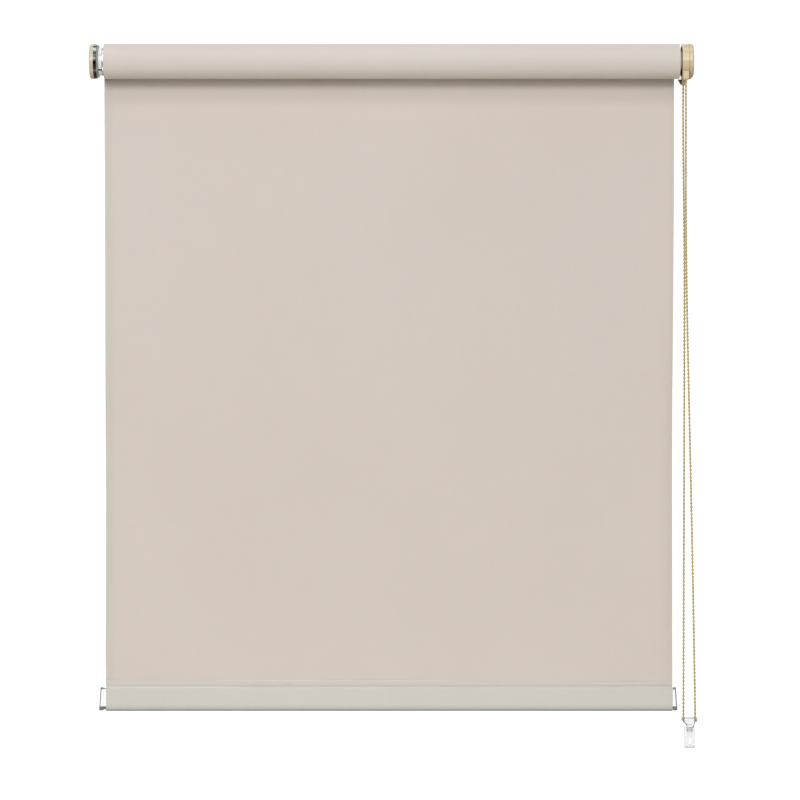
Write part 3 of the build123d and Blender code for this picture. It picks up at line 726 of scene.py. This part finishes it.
# ------------------------------------------------------------------ cloth wound on the tube
def wound_cloth():
    r0, r1, pitch = 0.02256, 0.02736, 0.000514
    turns = (r1 - r0) / pitch
    n = int(turns * 60)
    th = np.linspace(0, turns * 2 * math.pi, n)
    r = r0 + pitch / 2 + (r1 - r0 - pitch) * th / th[-1]
    # wound outward so that the outer end meets the leaving layer
    a = th - th[-1]
    layer = th / th[-1]
    right = HALF + 0.0058 - 0.0004 * layer + 0.00035 * np.sin(th * 0.37 + 1.0) + 0.0002 * np.sin(th * 1.3)
    left = -HALF + 0.0032 + 0.0003 * np.sin(th * 0.29) + 0.0002 * np.sin(th * 1.1 + 2.0)
    shares = np.array([0.0, 0.004, 0.02, 0.25, 0.5, 0.75, 0.98, 0.996, 1.0])
    rows, vs = [], []
    for k in range(n):
        x = left[k] + (right[k] - left[k]) * shares
        ang = -a[k]
        rows.append(np.stack([x + FX, np.full_like(x, AY + r[k] * math.cos(ang)), np.full_like(x, r[k] * math.sin(ang))], 1))
        vs.append(0.025 * ang)
    return np.array(rows), shares * 2 * HALF, np.array(vs)


grid, u2_, v2_ = wound_cloth()
wound = thick_sheet("wound_cloth", grid, u2_, v2_, 0.00042, [REVERSE, FACE])
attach(wound, "roller")
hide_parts("fabric_roll")


# ------------------------------------------------------------------ hem: allowance, weld band and pocket
def hem():
    edge = np.array([0.0, 0.0008, 0.002, 0.005, 0.010, 0.018])
    inner = np.linspace(0.028, 2 * HALF - 0.028, 200)
    cols = np.concatenate([edge, inner, 2 * HALF - edge[::-1]])
    x = cols - HALF
    ph = WELD_Z - POCKET_BOTTOM
    half_t = 0.00467

    def half_width(d):
        """Half the pocket's thickness at a depth below the weld."""
        top, low = 0.0044, 0.0058
        if d < top:
            return 0.0004 + (half_t - 0.0004) * math.sqrt(1 - ((top - d) / top) ** 2)
        if d > ph - low:
            return half_t * math.sqrt(max(0.0, 1 - ((d - ph + low) / low) ** 2))
        return half_t

    # section, from the cut edge of the allowance, down the room side, under the bar and up the wall side
    sec = []                                        # (y, z, kind, share)
    allow = HEM_TOP - WELD_Z
    for t in (0.0, 0.05, 0.12, 0.2, 0.3, 0.4, 0.5, 0.6, 0.7, 0.8, 0.9, 0.96):
        sec.append((-0.00046, HEM_TOP - allow * t, 0, t))
    sec.append((-0.00034, WELD_Z, 1, 0.0))
    down = np.concatenate([
        [0.00012, 0.0004, 0.0008, 0.0014, 0.0021, 0.003, 0.0044], np.linspace(0.0065, ph - 0.0075, 16),
        ph - np.array([0.0058, 0.0048, 0.0038, 0.0029, 0.0021, 0.0014, 0.0008, 0.0004, 0.0001]),
    ])
    for d in down:
        sec.append((-half_width(d), WELD_Z - d, 2, d / ph))
    sec.append((0.0, POCKET_BOTTOM + CLOTH / 2, 3, 1.0))
    for d in down[::-1][:-1]:
        sec.append((half_width(d), WELD_Z - d, 4, d / ph))
    sec.append((0.00045, WELD_Z + 0.0004, 4, 0.0))
    yz = np.array([[q[0], q[1]] for q in sec])
    lens = np.concatenate([[0], np.cumsum(np.hypot(np.diff(yz[:, 0]), np.diff(yz[:, 1])))])

    pucker = waves(x, [(0.5, 0.043, 0.3), (0.35, 0.071, 1.7), (0.3, 0.027, 2.2)])
    patch = waves(x, [(0.6, 0.19, 0.4), (0.5, 0.33, 2.6), (0.35, 0.115, 1.1)])
    # how strongly the cut edge stands up along the width: most between a quarter and two thirds
    share = (x + HALF) / (2 * HALF)
    lift = np.interp(share, [0.0, 0.10, 0.22, 0.30, 0.44, 0.58, 0.66, 0.78, 0.84, 0.97, 1.0],
                     [0.10, 0.22, 0.45, 0.95, 1.10, 1.00, 0.55, 0.60, 0.85, 0.55, 0.2])
    lift = lift + 0.10 * waves(x, [(0.6, 0.083, 1.2), (0.4, 0.037, 0.4)])
    droop = np.interp(share, [0.0, 0.26, 0.55, 0.72, 0.82, 1.0], [0.0, 0.0003, 0.0, -0.0012, -0.0022, -0.0016])
    rows = []
    for y, z, kind, t in sec:
        yy = np.full_like(x, y)
        zz = np.full_like(x, z)
        if kind == 0:
            # a ridge under the cut edge: up fast, down again to the weld
            ridge = math.sin(math.pi * min(1.0, t / 0.42)) ** 1.2 if t < 0.42 else 0.0
            yy -= 0.00062 * lift * ridge
            yy -= 0.00012 * pucker * math.sin(math.pi * t)
            yy += 0.00008 * smooth01((t - 0.42) / 0.2)
            zz += (droop + 0.00022 * waves(x, [(0.6, 0.24, 0.5), (0.4, 0.091, 2.0)])) * (1 - t)
        elif kind == 2:
            yy -= 0.00030 * pucker * math.exp(-((t - 0.12) / 0.10) ** 2)
            yy -= 0.00030 * patch * math.sin(math.pi * min(1.0, t / 0.92))
        elif kind == 4:
            yy += 0.00018 * pucker * math.exp(-((t - 0.15) / 0.15) ** 2)
        rows.append(np.stack([x + FX, SHEET_Y + yy, zz], 1))
    return np.array(rows), cols, -1.006 - lens


grid, u3_, v3_ = hem()
hem_o = thick_sheet("hem_cloth", grid, u3_, v3_, CLOTH * 0.9, [FACE, HEM_REVERSE])
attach(hem_o, "bottom_rail")
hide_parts("hem_pocket")


# ------------------------------------------------------------------ studio
def studio():
    # dark floor in front; it runs up into a white back wall that glows evenly behind the blind
    prof = [(-9.0, -3.0), (5.4, -3.0)]
    for k in range(1, 16):
        a = math.pi / 2 * k / 16
        prof.append((5.4 + 1.6 * math.sin(a), -3.0 + 1.6 * (1 - math.cos(a))))
    prof += [(7.0, -1.4), (7.0, 11.0)]
    verts, faces, kinds = [], [], []
    for y, z in prof:
        verts += [(-18.0, y, z), (18.0, y, z)]
    for k in range(len(prof) - 1):
        faces.append((2 * k, 2 * k + 1, 2 * k + 3, 2 * k + 2))
        kinds.append(0 if k < 8 else 1)
    dark, nt, b = material("studio_floor")
    b.inputs["Base Color"].default_value = (0.42, 0.42, 0.42, 1.0)
    b.inputs["Roughness"].default_value = 0.9
    b.inputs["Specular IOR Level"].default_value = 0.1
    white, nt, b = material("studio_wall")
    b.inputs["Base Color"].default_value = (0.30, 0.30, 0.30, 1.0)
    b.inputs["Roughness"].default_value = 0.9
    b.inputs["Specular IOR Level"].default_value = 0.1
    b.inputs["Emission Color"].default_value = (1.0, 1.0, 1.0, 1.0)
    b.inputs["Emission Strength"].default_value = WALL_GLOW
    mesh_object("studio_floor", verts, faces, [dark, white], kinds)
    world = bpy.data.worlds.new("world")
    scene.world = world
    world.use_nodes = True
    bg = world.node_tree.nodes["Background"]
    bg.inputs[0].default_value = (1.0, 1.0, 1.0, 1.0)
    bg.inputs[1].default_value = 0.01

    target = Vector((0.0, AY, -0.5))

    def softbox(name, turn, rise, far, size, watts, colour=(1.0, 1.0, 1.0)):
        """turn to the viewer's right and rise, in degrees, seen from the middle of the blind."""
        a, e = math.radians(turn), math.radians(rise)
        place = target + Vector((far * math.cos(e) * math.sin(a), -far * math.cos(e) * math.cos(a), far * math.sin(e)))
        d = bpy.data.lights.new(name, "AREA")
        d.shape = "RECTANGLE"
        d.size, d.size_y = size
        d.energy = watts
        d.color = colour
        lo = bpy.data.objects.new(name, d)
        col.objects.link(lo)
        lo.location = place
        lo.rotation_euler = (target - place).to_track_quat("-Z", "Y").to_euler()
        return lo

    softbox("low", 0, -60, 2.6, (4.0, 0.8), 24.5 * LEVEL, (1.04, 1.0, 0.88))
    softbox("front_low", 0, 12, 6.0, (4.0, 1.2), 40.6 * LEVEL)
    softbox("front_high", 0, 24, 6.0, (4.0, 1.2), 144.1 * LEVEL)
    softbox("high", 0, 45, 6.0, (4.0, 1.2), 72.0 * LEVEL)
    softbox("top_front", 0, 70, 4.0, (4.0, 1.4), 17.6 * LEVEL)
    softbox("top", 0, 88, 4.0, (4.0, 1.4), 34.8 * LEVEL, (0.96, 0.99, 1.07))
    softbox("left", -50, 15, 6.0, (1.6, 3.0), 93.5 * LEVEL)
    softbox("right", 50, 15, 6.0, (1.6, 3.0), 25.5 * LEVEL)


LEVEL = 1.0
WALL_GLOW = 1.02
studio()
scene.view_settings.view_transform = "Standard"
scene.view_settings.look = "None"
scene.view_settings.exposure = 0.0
scene.view_settings.gamma = 1.0
scene.cycles.use_denoising = True
